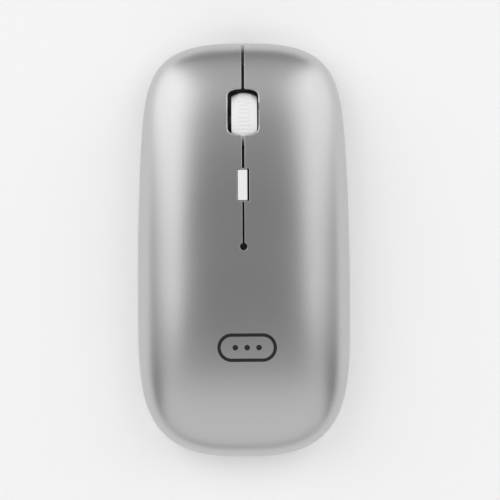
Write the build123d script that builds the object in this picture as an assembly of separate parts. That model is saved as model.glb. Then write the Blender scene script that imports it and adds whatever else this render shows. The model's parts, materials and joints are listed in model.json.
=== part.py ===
from build123d import *
import math
import os

# Slim rechargeable wireless computer mouse, with its inner parts and USB receiver.
# Frame: millimetres, +Z up, +Y towards the nose (wheel end), +X to the user's right.
# Origin: centre of the footprint, on the desk plane that the glide feet rest on.

# ------------------------------------------------------------------ driving dimensions
# plan outline: a tail half and a nose half that meet at the widest station
HALF_W = 28.75          # half of the overall width
NOSE, TAIL = 56.0, -56.0
Y_WIDE = -10.0          # widest station
PLAN_P = 2.75           # superellipse exponent across
PLAN_Q_NOSE = 10.5      # exponent along, nose half
PLAN_Q_TAIL = 4.4       # exponent along, tail half
NOSE_TAPER = 3.1        # how much the sides draw in towards the nose

# top skin
Z_EQ = 7.7              # lower edge of the top cover, where its wall is vertical
CROWN = 14.0            # height of the crown above Z_EQ
Y_HUMP = -8.0           # highest station
SECTION_M = 3.2         # section exponent
SPINE_NOSE = 3.0        # spine exponent, nose side
SPINE_TAIL = 2.4        # spine exponent, tail side
COVER_T = 1.1           # cover wall
BACKING_INSET = 0.5     # how deep into the wall the parts under the cover are trimmed

# base tray
BASE_D = 8.5            # depth of the tray's superellipse
BASE_M = 7.0            # tray section exponent
BASE_Z0 = 0.6           # underside plane
FLOOR_Z = 2.0           # inside of the floor
RIM_Z = 6.6             # top of the outer rim
WALL_IN = 2.0           # inset of the tray's inner wall
LIP_OUT, LIP_IN = 1.6, 2.35   # insets of the upstand that closes the parting gap
LIP_Z0, LIP_TOP = 5.0, 8.6
RIB_Z0 = 1.5            # ribs and bosses start inside the floor

# circuit board and screws
PCB_Z0, PCB_Z1 = 5.2, 6.2
FRAME_SCREWS = [(x, y) for y in (46.6, 1.0) for x in (-8.6, 8.6)]
FRAME_EAR_T = 1.0
CASE_SCREWS = [(-10.0, -44.4), (10.0, -44.4)]
CASE_SEAT_Z = 3.0       # where the heads of the case screws seat
SENSOR_Y = 4.0

# scroll wheel
WHEEL_X, WHEEL_Y, WHEEL_Z = 0.35, 35.2, 13.6
WHEEL_R, WHEEL_EDGE_R = 7.3, 6.4
WHEEL_W = 6.9
WINDOW_HX = 3.9         # half width of the wheel window in the frame and the board
PIVOT_X = -7.4          # centre of the encoder, about which the axle tilts
SADDLE_X = 7.6

# resolution key
DPI_X, DPI_Y = -0.2, 17.5

# receiver dock and battery
DOCK_HX, DOCK_Y0, DOCK_Y1, DOCK_Z = 7.4, -40.1, -20.4, 6.4
DOCK_WALL, DOCK_ROOF = 1.2, 1.0
CELL_HX, CELL_Y0, CELL_Y1, CELL_Z0, CELL_H = 15.0, -40.5, -10.5, 7.55, 5.0

# modelling aids
FINE, COARSE = 61, 41   # grid points per side of a skin
OVER = 30               # height above the whole mouse, for cuts and untrimmed blocks
CUT_Z0 = 5              # start of the cuts that go up through the cover or frame
SIDES = (-1, 1)         # left, right
CENTRE, LOW = Align.CENTER, Align.MIN


# ------------------------------------------------------------------ basic shapes
def box(x0, x1, y0, y1, z0, z1):
    return Pos(x0, y0, z0) * Box(x1 - x0, y1 - y0, z1 - z0, align=(LOW, LOW, LOW))


def block(x, y, width, length, z0, z1):
    """A box centred on (x, y)."""
    return box(x - width / 2, x + width / 2, y - length / 2, y + length / 2, z0, z1)


def side_box(side, x0, x1, y0, y1, z0, z1):
    """A box whose x limits are mirrored to the left when side is -1."""
    return box(*sorted((side * x0, side * x1)), y0, y1, z0, z1)


def slab(z0, z1):
    """A slab larger than the mouse in plan."""
    return box(-40, 40, -70, 70, z0, z1)


def z_cyl(x, y, z0, z1, radius):
    return Pos(x, y, z0) * Cylinder(radius, z1 - z0, align=(CENTRE, CENTRE, LOW))


def x_cyl(x0, x1, y, z, radius):
    return Pos(x0, y, z) * Rot(0, 90, 0) * Cylinder(radius, x1 - x0, align=(CENTRE, CENTRE, LOW))


def on_axle(x0, x1, radius):
    return x_cyl(x0, x1, WHEEL_Y, WHEEL_Z, radius)


def hex_on_axle(x0, x1, radius):
    return Pos(x0, WHEEL_Y, WHEEL_Z) * Rot(0, 90, 0) * extrude(RegularPolygon(radius, 6), x1 - x0)


def rounded(x, y, width, length, radius, z0, height):
    """An upright prism with a rounded rectangular plan."""
    return Pos(x, y, z0) * extrude(RectangleRounded(width, length, radius), height)


def slot_bar(width, height, y0, y1, z):
    """A bar along Y, centred on x = 0, with a slot-shaped section."""
    return Pos(0, y1, z) * Rot(90, 0, 0) * extrude(SlotOverall(width, height), y1 - y0)


def face_of(lines):
    return Face(Wire([edge for line in lines for edge in line.edges()]))


def polygon(points):
    return Face(Wire.make_polygon(points, close=True))


def add(shape, *tools):
    for tool in tools:
        shape = shape + tool
    return shape


def cut(shape, *tools):
    for tool in tools:
        shape = shape - tool
    return shape


def one(shape):
    """The shape's largest solid."""
    return sorted(shape.solids(), key=lambda solid: solid.volume)[-1]


# ------------------------------------------------------------------ body surfaces
def half_width(y):
    if y >= Y_WIDE:
        t = (y - Y_WIDE) / (NOSE - Y_WIDE)
        widest, exponent = HALF_W - NOSE_TAPER * t * t, PLAN_Q_NOSE
    else:
        t = (Y_WIDE - y) / (Y_WIDE - TAIL)
        widest, exponent = HALF_W, PLAN_Q_TAIL
    return widest * max(0.0, 1 - t**exponent) ** (1 / PLAN_P)


def outline_point(across, along):
    """Plan outline point, relative to (0, Y_WIDE), in a scaled direction, by bisection."""
    reach = (NOSE - Y_WIDE) if along >= 0 else (Y_WIDE - TAIL)
    low, high = 0.0, 1.6
    for _ in range(50):
        mid = (low + high) / 2
        y = Y_WIDE + mid * along * reach
        if abs(mid * along) < 1 and abs(mid * across) * HALF_W < half_width(y):
            low = mid
        else:
            high = mid
    return low * across * HALF_W, low * along * reach


def spine(y):
    if y >= Y_HUMP:
        t, exponent = (y - Y_HUMP) / (NOSE - Y_HUMP), SPINE_NOSE
    else:
        t, exponent = (Y_HUMP - y) / (Y_HUMP - TAIL), SPINE_TAIL
    return CROWN * math.sqrt(max(0.0, 1 - t**exponent))


def crown_height(x, y):
    width = half_width(y)
    if width < 1e-9 or abs(x) >= width:
        return 0.0
    return spine(y) * math.sqrt(max(0.0, 1 - (abs(x) / width) ** SECTION_M))


def plan_position(u, v):
    """Azimuthal coordinates, pole at the widest station, to (outline fraction, x, y, fold).

    fold is -1 beyond the outline, where a skin carries on past Z_EQ.
    """
    angle = math.hypot(u, v)
    if angle < 1e-9:
        return 0.0, 0.0, Y_WIDE, 1
    x, y = outline_point(u / angle, v / angle)
    fraction = math.sin(angle)
    return fraction, fraction * x, Y_WIDE + fraction * y, 1 if angle <= math.pi / 2 else -1


def dome(u, v):
    """Top skin; its normal points out of the mouse."""
    _, x, y, fold = plan_position(u, v)
    return Vector(x, y, Z_EQ + fold * crown_height(x, y))


def tray(u, v):
    """Underside skin; its normal points into the mouse."""
    fraction, x, y, fold = plan_position(u, v)
    return Vector(x, y, Z_EQ - fold * BASE_D * math.sqrt(max(0.0, 1 - fraction**BASE_M)))


def skin(surface, inset, count, outward=1.0):
    """B-spline face through surface, moved into the mouse by inset.

    outward is -1 where the surface's normal points into the mouse.
    """
    step, limit = 1e-4, math.radians(93.0)
    stations = [-limit + 2 * limit * i / (count - 1) for i in range(count)]
    rows = []
    for u in stations:
        row = []
        for v in stations:
            point = surface(u, v)
            if inset:
                along_u = surface(u + step, v) - surface(u - step, v)
                along_v = surface(u, v + step) - surface(u, v - step)
                normal = along_u.cross(along_v)
                point = point - normal * (outward * inset / (normal.length or 1.0))
            row.append(point)
        rows.append(row)
    return Face.make_surface_from_array_of_points(rows, tol=0.01, min_deg=3, max_deg=3)


def split_keep(body, face, point):
    """The piece of body, split by face, that holds point."""
    for piece in body.split(face, keep=Keep.ALL):
        for solid in piece.solids():
            if solid.is_inside(Vector(*point)):
                return solid
    raise ValueError("no piece holds the point")


def dome_solid(inset, count):
    return split_keep(slab(Z_EQ, 40), skin(dome, inset, count), (0, 0, Z_EQ + 1))


def plan_prism(inset, z0, z1):
    """An upright prism on the plan outline, moved inwards by inset."""
    count, step = 160, 1e-4
    points = []
    for i in range(count):
        angle = 2 * math.pi * (i + 0.5) / count
        x, y = outline_point(math.cos(angle), math.sin(angle))
        ahead = outline_point(math.cos(angle + step), math.sin(angle + step))
        behind = outline_point(math.cos(angle - step), math.sin(angle - step))
        dx, dy = ahead[0] - behind[0], ahead[1] - behind[1]
        length = math.hypot(dx, dy)
        points.append(Vector(x - inset * dy / length, Y_WIDE + y + inset * dx / length, 0))
    edge = Edge.make_spline(points, periodic=True)
    return Pos(0, 0, z0) * extrude(Face(Wire([edge])), z1 - z0)


# ------------------------------------------------------------------ top cover and keys
FLEX_Y, FLEX_GAP = 1.0, 0.2     # flexure line between the palm cover and the keys
# slits between the keys: width, y0, y1
DOT_Y, DOT_R = 0.9, 1.0         # round hole at the rear end of the slits
SLITS = [(0.75, 42.5, 60), (0.70, 21.0, 32.0), (0.55, DOT_Y, 14.0)]
OPEN_HALF_W = 4.1
OPEN_Y0, OPEN_Y1 = 31.1, 43.4
OPEN_SAG = 0.9                  # bow of the opening's ends
OPEN_CORNER_R = 1.5
WHEEL_RELIEF = 0.33
DPI_SLOT_W, DPI_SLOT_L, DPI_SLOT_Y = 3.2, 8.7, 17.6

# key switches: body from its rear to its front, about the plunger's y
KEY_SW_X, KEY_SW_Y = 15.5, 38.0
KEY_SW_W, KEY_SW_REAR, KEY_SW_FRONT = 5.8, 8.4, 4.4
KEY_SW_Z1 = PCB_Z1 + 6.5
KEY_SW_TOP = KEY_SW_Z1 + 0.8    # top of the plunger

BOSS_R, BOSS_PILOT_R = 2.4, 1.02
TAB_Y0, TAB_Y1, TAB_Z1 = -16, -8, 13.5
TAB_T, TAB_CLEARANCE = 1.1, 0.25


def wheel_opening():
    """Straight sides, bowed ends and rounded corners."""
    y0, y1 = OPEN_Y0 + OPEN_SAG, OPEN_Y1 - OPEN_SAG
    opening = face_of([
        Line((OPEN_HALF_W, y0), (OPEN_HALF_W, y1)),
        ThreePointArc((OPEN_HALF_W, y1), (0, OPEN_Y1), (-OPEN_HALF_W, y1)),
        Line((-OPEN_HALF_W, y1), (-OPEN_HALF_W, y0)),
        ThreePointArc((-OPEN_HALF_W, y0), (0, OPEN_Y0), (OPEN_HALF_W, y0)),
    ])
    opening = opening.fillet_2d(OPEN_CORNER_R, opening.vertices())
    return Pos(0, 0, CUT_Z0) * extrude(opening, OVER - CUT_Z0)


def slotted_cover():
    """The whole top shell, before it is parted into palm cover and keys."""
    return cut(
        dome_solid(0.0, FINE) - dome_solid(COVER_T, FINE),
        *[box(-width / 2, width / 2, y0, y1, CUT_Z0, OVER) for width, y0, y1 in SLITS],
        z_cyl(0, DOT_Y, CUT_Z0, OVER, DOT_R),
        wheel_opening(),
        block(0, DPI_SLOT_Y, DPI_SLOT_W, DPI_SLOT_L, CUT_Z0, OVER),
        on_axle(-OPEN_HALF_W, OPEN_HALF_W, WHEEL_R + WHEEL_RELIEF),
    )


def key(side, cover, backing):
    """A key with the rib that presses its switch, and a web along the rib."""
    x = side * KEY_SW_X
    shell = one(cover & side_box(side, 0, 40, FLEX_Y + FLEX_GAP / 2, 70, 0, 40))
    rib = box(x - 1.1, x + 1.1, KEY_SW_Y - 1.6, KEY_SW_Y + 1.2, KEY_SW_TOP + 0.02, OVER) & backing
    web = box(x - 0.5, x + 0.5, KEY_SW_Y - 14, KEY_SW_Y + 6, KEY_SW_TOP + 1.2, OVER) & backing
    return one(shell + rib + web)


def top_cover(cover, backing):
    """The palm cover, with bosses for the case screws and side snap tabs."""
    palm = one(cover & box(-40, 40, -70, FLEX_Y - FLEX_GAP / 2, 0, 40))
    for x, y in CASE_SCREWS:
        upper = z_cyl(x, y, 7.8, OVER, BOSS_R) & backing
        palm = palm + (z_cyl(x, y, 6.95, 8.0, BOSS_R) + upper)
    for x, y in CASE_SCREWS:
        palm = palm - z_cyl(x, y, 6.0, 13.0, BOSS_PILOT_R)
    face_x = half_width((TAB_Y0 + TAB_Y1) / 2) - LIP_IN - TAB_CLEARANCE
    for side in SIDES:
        tab = side_box(side, face_x - TAB_T, face_x, TAB_Y0, TAB_Y1, 5.3, TAB_Z1)
        bridge = side_box(side, face_x, face_x + 2.2, TAB_Y0, TAB_Y1, 10.2, TAB_Z1) & backing
        palm = palm + (tab + bridge)
    return one(palm)


# ------------------------------------------------------------------ glide feet
FOOT_T, FOOT_RECESS = 0.75, 0.15
FOOT_CLEARANCE = 0.3            # added to a foot's width for its recess
# centre y, bow (positive towards the nose), half length, width
FEET = {
    "front_foot": (39.5, 2.4, 14.5, 4.2),
    "rear_foot": (-43.2, -2.6, 13.5, 4.8),
}


def foot_prism(centre_y, bow, half_len, width, height):
    """A strip bowed towards the nose or the tail, with round ends."""
    radius = (half_len**2 + bow**2) / (2 * abs(bow))
    facing = 1 if bow > 0 else -1
    arc_y = centre_y + bow - facing * radius
    sweep_angle = math.asin(half_len / radius)
    outer, inner = radius + width / 2, radius - width / 2

    def at(r, angle):
        return r * math.sin(angle), arc_y + facing * r * math.cos(angle)

    def tip(side):
        x, y = at(radius, side * sweep_angle)
        return (x + side * width / 2 * math.cos(sweep_angle),
                y - facing * width / 2 * math.sin(sweep_angle))

    sketch = face_of([
        ThreePointArc(at(outer, -sweep_angle), at(outer, 0), at(outer, sweep_angle)),
        ThreePointArc(at(outer, sweep_angle), tip(1), at(inner, sweep_angle)),
        ThreePointArc(at(inner, sweep_angle), at(inner, 0), at(inner, -sweep_angle)),
        ThreePointArc(at(inner, -sweep_angle), tip(-1), at(outer, -sweep_angle)),
    ])
    return extrude(sketch, height, dir=(0, 0, 1))


# ------------------------------------------------------------------ base tray
PSW_X, PSW_Y = -14.0, 8.0       # power switch
PORT_W, PORT_H = 8.94, 3.16     # charging receptacle, hung under the board
PORT_Z = PCB_Z0 - PORT_H / 2
PORT_MOUTH_Y = 50.7             # flush with the case where the case curves under it


def bottom_case():
    outside = split_keep(slab(BASE_Z0, RIM_Z), skin(tray, 0.0, FINE), (0, 0, 3))
    inside = split_keep(
        slab(FLOOR_Z, RIM_Z + 0.01), skin(tray, WALL_IN, FINE, outward=-1.0), (0, 0, 3))
    base = outside - inside
    lip = plan_prism(LIP_OUT, LIP_Z0, LIP_TOP) - plan_prism(LIP_IN, LIP_Z0 - 0.1, LIP_TOP + 0.1)
    base = add_tray_supports(base + lip)
    base = cut_tray_openings(base)

    # charging port: a boss inside the nose, a hole for the shell and a recess round its mouth
    boss = box(-7.6, 7.6, PORT_MOUTH_Y - 0.3, 54.2, RIB_Z0, PORT_Z + 3.3) & outside
    base = base + boss
    base = base - slot_bar(9.3, 3.5, 40, 60, PORT_Z)
    base = base - slot_bar(12.6, 4.9, PORT_MOUTH_Y + 0.4, 60, PORT_Z)

    for centre_y, bow, half_len, width in FEET.values():
        base = base - foot_prism(
            centre_y, bow, half_len, width + FOOT_CLEARANCE, BASE_Z0 + FOOT_RECESS)
    return one(base)


def add_tray_supports(base):
    """Screw bosses, dock housing, battery ribs and ribs under the board."""
    base = add(
        base,
        *[z_cyl(x, y, 1.0, 6.85, 2.7) for x, y in CASE_SCREWS],
        *[z_cyl(x, y, RIB_Z0, PCB_Z0, 2.1) for x, y in FRAME_SCREWS],
        box(-DOCK_HX - DOCK_WALL, DOCK_HX + DOCK_WALL, DOCK_Y0 - DOCK_WALL, DOCK_Y1 + DOCK_WALL,
            1.0, DOCK_Z + DOCK_ROOF),
    )
    for side in SIDES:
        base = base + side_box(side, 13, 14, -38, -13, RIB_Z0, 7.4)
        base = base + side_box(side, 13, 19.5, -26, -25, RIB_Z0, 6.8)
    board_rib_top = 5.1
    return add(
        base,
        box(-6, 6, CELL_Y1 + 0.2, CELL_Y1 + 1.2, RIB_Z0, 9.0),     # front battery stop
        box(-15.5, 15.5, 23.5, 24.5, RIB_Z0, board_rib_top),
        *[side_box(side, 19, 20, 8, 40, RIB_Z0, board_rib_top) for side in SIDES],
    )


def cut_tray_openings(base):
    for x, y in CASE_SCREWS:
        base = base - z_cyl(x, y, 0, CASE_SEAT_Z, 2.1)
        base = base - z_cyl(x, y, 0, 8, 1.15)
    return cut(
        base,
        *[z_cyl(x, y, 2.4, 6, 0.97) for x, y in FRAME_SCREWS],
        box(-DOCK_HX, DOCK_HX, DOCK_Y0, DOCK_Y1, 0, DOCK_Z),
        # finger scoop at the cap end of the dock
        Pos(0, -40.6, -1.5) * Rot(0, 90, 0) * Cylinder(3.2, 8, align=(CENTRE, CENTRE, CENTRE)),
        # sensor window and its wider mouth
        rounded(0, SENSOR_Y, 8.4, 11.4, 3.0, 0, 3),
        rounded(0, SENSOR_Y, 10.8, 13.8, 4.0, BASE_Z0, 0.5),
        # power switch recess and slot
        rounded(PSW_X, PSW_Y, 4.4, 7.4, 0.9, 0, 1.5),
        rounded(PSW_X, PSW_Y, 1.9, 4.8, 0.4, 0, 3),
    )


# ------------------------------------------------------------------ inner frame
FRAME_INSET, FRAME_UNDER_INSET = 2.4, 3.5
PLATE_HX, PLATE_Y0, PLATE_Y1 = 5.8, -1.6, 50.0
LEG_X0, LEG_X1, LEG_L = 4.75, 5.75, 4.0
EAR_R, EAR_L = 2.3, 3.2


def inner_frame():
    roof = dome_solid(FRAME_INSET, COARSE)
    under = dome_solid(FRAME_UNDER_INSET, COARSE)
    frame = one((roof - under) & box(-PLATE_HX, PLATE_HX, PLATE_Y0, PLATE_Y1, 8, 40))
    ear_top = PCB_Z1 + FRAME_EAR_T
    for x, y in FRAME_SCREWS:
        side = 1 if x > 0 else -1
        leg = side_box(side, LEG_X0, LEG_X1, y - LEG_L / 2, y + LEG_L / 2, PCB_Z1, OVER)
        frame = add(
            frame,
            z_cyl(x, y, PCB_Z1, ear_top, EAR_R),
            (leg & slab(0, Z_EQ + 0.5)) + (leg & roof),
            side_box(side, LEG_X0, abs(x), y - EAR_L / 2, y + EAR_L / 2, PCB_Z1, ear_top),
        )
    # shroud walls before and behind the wheel, and the resolution key's guide tube
    frame = frame + (box(-5.0, 5.4, 43.3, 44.1, 10.0, OVER) & roof)
    frame = frame + (box(-5.0, 5.4, 26.6, 27.4, 12.5, OVER) & roof)
    frame = frame + (block(DPI_X, DPI_Y, 3.8, 7.2, 12.0, OVER) & roof)
    frame = cut(
        frame,
        block(DPI_X, DPI_Y, 2.1, 5.3, CUT_Z0, OVER),            # bore of the guide tube
        block(DPI_X, DPI_Y, 4.6, 9.8, 18.35, OVER),             # travel of the key's flange
        box(-12, -5.15, WHEEL_Y - 4.9, WHEEL_Y + 4.9, CUT_Z0, OVER),    # encoder clearance
        box(WHEEL_X - WINDOW_HX, WHEEL_X + WINDOW_HX, 27.5, 43.2, CUT_Z0, OVER),
        on_axle(WHEEL_X - WINDOW_HX, WHEEL_X + WINDOW_HX, WHEEL_R + 0.45),
    )
    for x, y in FRAME_SCREWS:
        frame = frame - z_cyl(x, y, 5, 9, 1.1)
        frame = frame - z_cyl(x, y, ear_top, ear_top + 3.0, EAR_R)
    return one(frame)


# ------------------------------------------------------------------ circuit board
# x, y corners
BOARD_OUTLINE = [(-21, -6), (21, -6), (21, 38), (18.6, 45), (13.5, 50.2),
                 (-13.5, 50.2), (-18.6, 45), (-21, 38)]


def main_board():
    outline = polygon([Vector(x, y, 0) for x, y in BOARD_OUTLINE])
    return one(cut(
        Pos(0, 0, PCB_Z0) * extrude(outline, PCB_Z1 - PCB_Z0),
        box(WHEEL_X - WINDOW_HX, WHEEL_X + WINDOW_HX, 26.5, 44.0, 4, 8),
        rounded(0, SENSOR_Y, 5.0, 7.0, 0.8, 4, 4),
        *[z_cyl(x, y, 4, 8, 1.1) for x, y in FRAME_SCREWS],
        *[z_cyl(side * 19.0, 2.0, 4, 8, 0.8) for side in SIDES],
    ))


# ------------------------------------------------------------------ switches
TACT_H = 4.3                    # height of a tact switch with its plunger
TACT_W, TACT_CASE_H = 6, 3.3
TACT_PLUNGER_R = 1.75
TACT_STUD = 2.1                 # corner studs, from the centre


def key_switch_case(side):
    """Snap-action switch body with a plunger well."""
    x = side * KEY_SW_X
    half, step = KEY_SW_W / 2, 0.12
    y0, y1 = KEY_SW_Y - KEY_SW_REAR, KEY_SW_Y + KEY_SW_FRONT
    case = box(x - half, x + half, y0, y1, PCB_Z1, KEY_SW_Z1)
    case = case - block(x, KEY_SW_Y, 3.1, 1.5, KEY_SW_Z1 - 2.2, 20)
    # fine groove round the body, above its foot
    groove = box(x - 4, x + 4, y0 - 0.6, y1 + 0.6, PCB_Z1 + 1.9, PCB_Z1 + 2.1) - box(
        x - half + step, x + half - step, y0 + step, y1 - step, 0, 20)
    return one(case - groove)


def key_switch_plunger(side):
    pin = block(side * KEY_SW_X, KEY_SW_Y, 2.9, 1.2, KEY_SW_Z1 - 1.4, KEY_SW_TOP)
    return one(fillet(pin.edges().filter_by(Axis.X).group_by(Axis.Z)[-1], 0.35))


def tact_case(x, y):
    top = PCB_Z1 + TACT_CASE_H
    case = block(x, y, TACT_W, TACT_W, PCB_Z1, top) + z_cyl(x, y, top, top + 0.25, 2.4)
    case = case - z_cyl(x, y, PCB_Z1 + 2.5, PCB_Z1 + 4, TACT_PLUNGER_R + 0.12)
    for dx in (-TACT_STUD, TACT_STUD):
        for dy in (-TACT_STUD, TACT_STUD):
            case = case + z_cyl(x + dx, y + dy, top, top + 0.2, 0.45)
    return one(case)


def tact_plunger(x, y):
    return one(z_cyl(x, y, PCB_Z1 + 2.95, PCB_Z1 + TACT_H, TACT_PLUNGER_R))


# ------------------------------------------------------------------ scroll wheel group
HUB_R, HUB_HX = 5.8, 3.3
HUB_WEB_HX = 1.2                # half thickness of the web between the side pockets
AXLE_R = 1.25
RIB_COUNT = 40
# one cross rib of the tyre: fraction of the pitch, radius beyond WHEEL_R
RIB_PROFILE = [(0.0, 0.2), (0.30, 0.2), (0.42, -0.22),
               (0.62, -0.34), (0.68, -0.34), (0.88, -0.22)]
ENC_HX = 2.0                    # half width of the encoder


def wheel_tyre():
    """Crowned rubber ring with fine cross ribs."""
    half = WHEEL_W / 2
    ring = revolve(face_of([
        Line((-half, HUB_R), (half, HUB_R)),
        Line((half, HUB_R), (half, WHEEL_EDGE_R)),
        ThreePointArc((half, WHEEL_EDGE_R), (0, WHEEL_R), (-half, WHEEL_EDGE_R)),
        Line((-half, WHEEL_EDGE_R), (-half, HUB_R)),
    ]), Axis.X, 360)
    teeth = []
    for i in range(RIB_COUNT):
        for fraction, rise in RIB_PROFILE:
            angle = 2 * math.pi * (i + fraction) / RIB_COUNT
            radius = WHEEL_R + rise
            teeth.append(Vector(0, radius * math.cos(angle), radius * math.sin(angle)))
    star = Solid.extrude(polygon(teeth), Vector(20, 0, 0))
    tyre = ring & (Pos(-10, 0, 0) * star)
    return one(Pos(WHEEL_X, WHEEL_Y, WHEEL_Z) * tyre)


def wheel_hub():
    """Hub with a round axle to the right and a hexagonal one to the left."""
    hub = on_axle(WHEEL_X - HUB_HX, WHEEL_X + HUB_HX, HUB_R)
    for side in (1, -1):
        outer_x = WHEEL_X + side * 4
        pocket = on_axle(*sorted((WHEEL_X + side * HUB_WEB_HX, outer_x)), 4.9)
        hub = hub - (pocket - on_axle(*sorted((WHEEL_X + side, outer_x)), 2.2))
    for i in range(6):
        angle = math.radians(60 * i)
        y, z = WHEEL_Y + 3.55 * math.cos(angle), WHEEL_Z + 3.55 * math.sin(angle)
        hub = hub - x_cyl(WHEEL_X - 4, WHEEL_X + 4, y, z, 0.85)
    hub = hub + on_axle(WHEEL_X - 1, SADDLE_X + 1.9, AXLE_R)
    hub = hub + hex_on_axle(PIVOT_X - 2.6, WHEEL_X, AXLE_R)
    return one(hub)


def encoder_rotor():
    """Rotor that the hexagonal shaft drives."""
    rotor = on_axle(PIVOT_X - ENC_HX + 0.1, PIVOT_X + ENC_HX - 0.1, 2.5)
    return one(rotor - hex_on_axle(PIVOT_X - 4, PIVOT_X + 4, AXLE_R + 0.02))


def encoder_case():
    case = block(PIVOT_X, WHEEL_Y, 2 * ENC_HX, 9.2, PCB_Z1, WHEEL_Z + 0.9)
    case = case + block(PIVOT_X, WHEEL_Y, 2 * ENC_HX, 6.4, PCB_Z1, WHEEL_Z + 3.1)
    return one(case - on_axle(PIVOT_X - 5, PIVOT_X + 5, 2.65))


def axle_saddle():
    """Carries the free end of the axle down onto the middle switch."""
    x0, x1 = SADDLE_X - 1.1, SADDLE_X + 1.1
    z0 = PCB_Z1 + TACT_H + 0.04
    saddle = box(x0, x1, WHEEL_Y - 2.6, WHEEL_Y + 2.6, z0, WHEEL_Z + 2.4)
    saddle = saddle + box(x0, SADDLE_X + 2.2, WHEEL_Y - 1.8, WHEEL_Y + 1.8, z0, z0 + 0.96)
    return one(saddle - on_axle(x0 - 1, x1 + 3, AXLE_R + 0.05))


def saddle_guides():
    """The two posts that the saddle slides between."""
    x0, x1, top = SADDLE_X - 1.6, SADDLE_X + 1.6, WHEEL_Z + 2.3
    guides = (box(x0, x1, WHEEL_Y - 4.4, WHEEL_Y - 3.1, PCB_Z1, top)
              + box(x0, x1, WHEEL_Y + 3.1, WHEEL_Y + 4.4, PCB_Z1, top))
    return Compound(children=list(guides.solids()))


# ------------------------------------------------------------------ resolution key
DPI_CAP_W, DPI_CAP_L, DPI_CAP_TOP = 2.6, 8.2, 21.6


def dpi_button():
    """Cap, flange and the stem that reaches its switch."""
    cap = block(DPI_X, DPI_Y, DPI_CAP_W, DPI_CAP_L, 19.0, DPI_CAP_TOP)
    cap = fillet(cap.edges().group_by(Axis.Z)[-1], 0.22)
    cap = cap + block(DPI_X, DPI_Y, DPI_CAP_W, 9.3, 18.9, 19.5)
    return one(cap + block(DPI_X, DPI_Y, 1.9, 5.1, PCB_Z1 + TACT_H + 0.01, 19.1))


# ------------------------------------------------------------------ optics
LENS_Y = SENSOR_Y - 1.2


def optical_sensor():
    chip = block(0, SENSOR_Y, 9, 9, PCB_Z1, PCB_Z1 + 2.4)
    return one(chip - z_cyl(0, SENSOR_Y, PCB_Z1 - 1, PCB_Z1 + 0.4, 1.2))


def sensor_lens():
    lens = block(0, SENSOR_Y, 12, 13.6, 4.1, PCB_Z0)
    lens = lens + rounded(0, SENSOR_Y, 7.6, 10.6, 2.6, 1.35, 2.9)
    lens = lens - z_cyl(0, LENS_Y, 0, 2.2, 2.1)
    lens = lens + Pos(0, LENS_Y, 3.3) * (Sphere(1.9) & Pos(0, 0, -1.0) * Box(5, 5, 2.0))
    return one(lens)


def sensor_led():
    """A lamp lying along Y, with a flange at its nose end."""
    lamp = Cylinder(1.5, 3.0, align=(CENTRE, CENTRE, LOW))
    led = Pos(0, SENSOR_Y + 5.1, PCB_Z1 + 1.6) * Rot(-90, 0, 0) * lamp + box(
        -1.7, 1.7, SENSOR_Y + 8.0, SENSOR_Y + 8.8, PCB_Z1, PCB_Z1 + 3.3)
    return one(led)


# ------------------------------------------------------------------ small board parts
# centre x, centre y, width, length, height
CAPACITORS = [
    (-8.4, 13.5, 0.8, 1.6, 0.7), (-8.4, 16.4, 0.8, 1.6, 0.7), (-17.6, 15.5, 0.8, 1.6, 0.7),
    (-17.6, 18.4, 0.8, 1.6, 0.7), (8.2, 10.0, 1.6, 0.8, 0.7), (8.2, 12.2, 1.6, 0.8, 0.7),
    (12.9, 43.6, 3.2, 1.6, 1.5), (-12.6, 45.6, 1.6, 0.8, 0.7), (13.6, 20.5, 1.6, 0.8, 0.7),
    (13.6, 23.0, 1.6, 0.8, 0.7), (9.0, 25.2, 0.8, 1.6, 0.7),
]
ANTENNA_X, ANTENNA_LINE, ANTENNA_T = 17.0, 0.6, 0.08
PORT_WALL = 0.3
PSW_TRAVEL = 2.5


def chip(x0, x1, y0, y1, height):
    return one(box(x0, x1, y0, y1, PCB_Z1, PCB_Z1 + height))


def crystal():
    can = box(-15.0, -11.8, 22.0, 24.5, PCB_Z1, PCB_Z1 + 0.7)
    return one(fillet(can.edges().filter_by(Axis.Z), 0.3))


def board_capacitors():
    return Compound(children=[
        one(block(x, y, width, length, PCB_Z1, PCB_Z1 + height))
        for x, y, width, length, height in CAPACITORS])


def board_antenna():
    """A comb of foil at the board's right edge."""
    top = PCB_Z1 + ANTENNA_T
    foil = box(ANTENNA_X, ANTENNA_X + ANTENNA_LINE, 8.0, 24.0, PCB_Z1, top)
    for i in range(5):
        y = 9.5 + 3.0 * i
        foil = foil + box(ANTENNA_X, 20.4, y, y + ANTENNA_LINE, PCB_Z1, top)
    return one(foil)


def charge_port_shell():
    shell = slot_bar(PORT_W, PORT_H, PORT_MOUTH_Y - 7.3, PORT_MOUTH_Y, PORT_Z)
    return one(shell - slot_bar(PORT_W - 2 * PORT_WALL, PORT_H - 2 * PORT_WALL,
                                PORT_MOUTH_Y - 7.0, PORT_MOUTH_Y + 0.8, PORT_Z))


def charge_port_tongue():
    return one(box(-3.35, 3.35, PORT_MOUTH_Y - 7.0, PORT_MOUTH_Y - 1.1,
                   PORT_Z - 0.35, PORT_Z + 0.35))


def power_switch_case():
    case = block(PSW_X, PSW_Y, 3.8, 8.6, 2.35, PCB_Z0)
    return one(case - block(PSW_X, PSW_Y, 1.8, 4.6, 2.0, 3.5))


def power_slider():
    """Grooved knob at the tail end of its travel, with a stem through the floor."""
    knob_y = PSW_Y - PSW_TRAVEL / 2
    knob = block(PSW_X, knob_y, 3.6, 4.2, 0.68, 1.42)
    knob = fillet(knob.edges().filter_by(Axis.Z), 0.6)
    for i in range(4):
        knob = knob - block(PSW_X, knob_y - 1.35 + 0.9 * i, 2.8, 0.32, 0.5, 0.88)
    return one(knob + block(PSW_X, knob_y, 1.5, 1.8, 1.3, 3.3))


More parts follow.
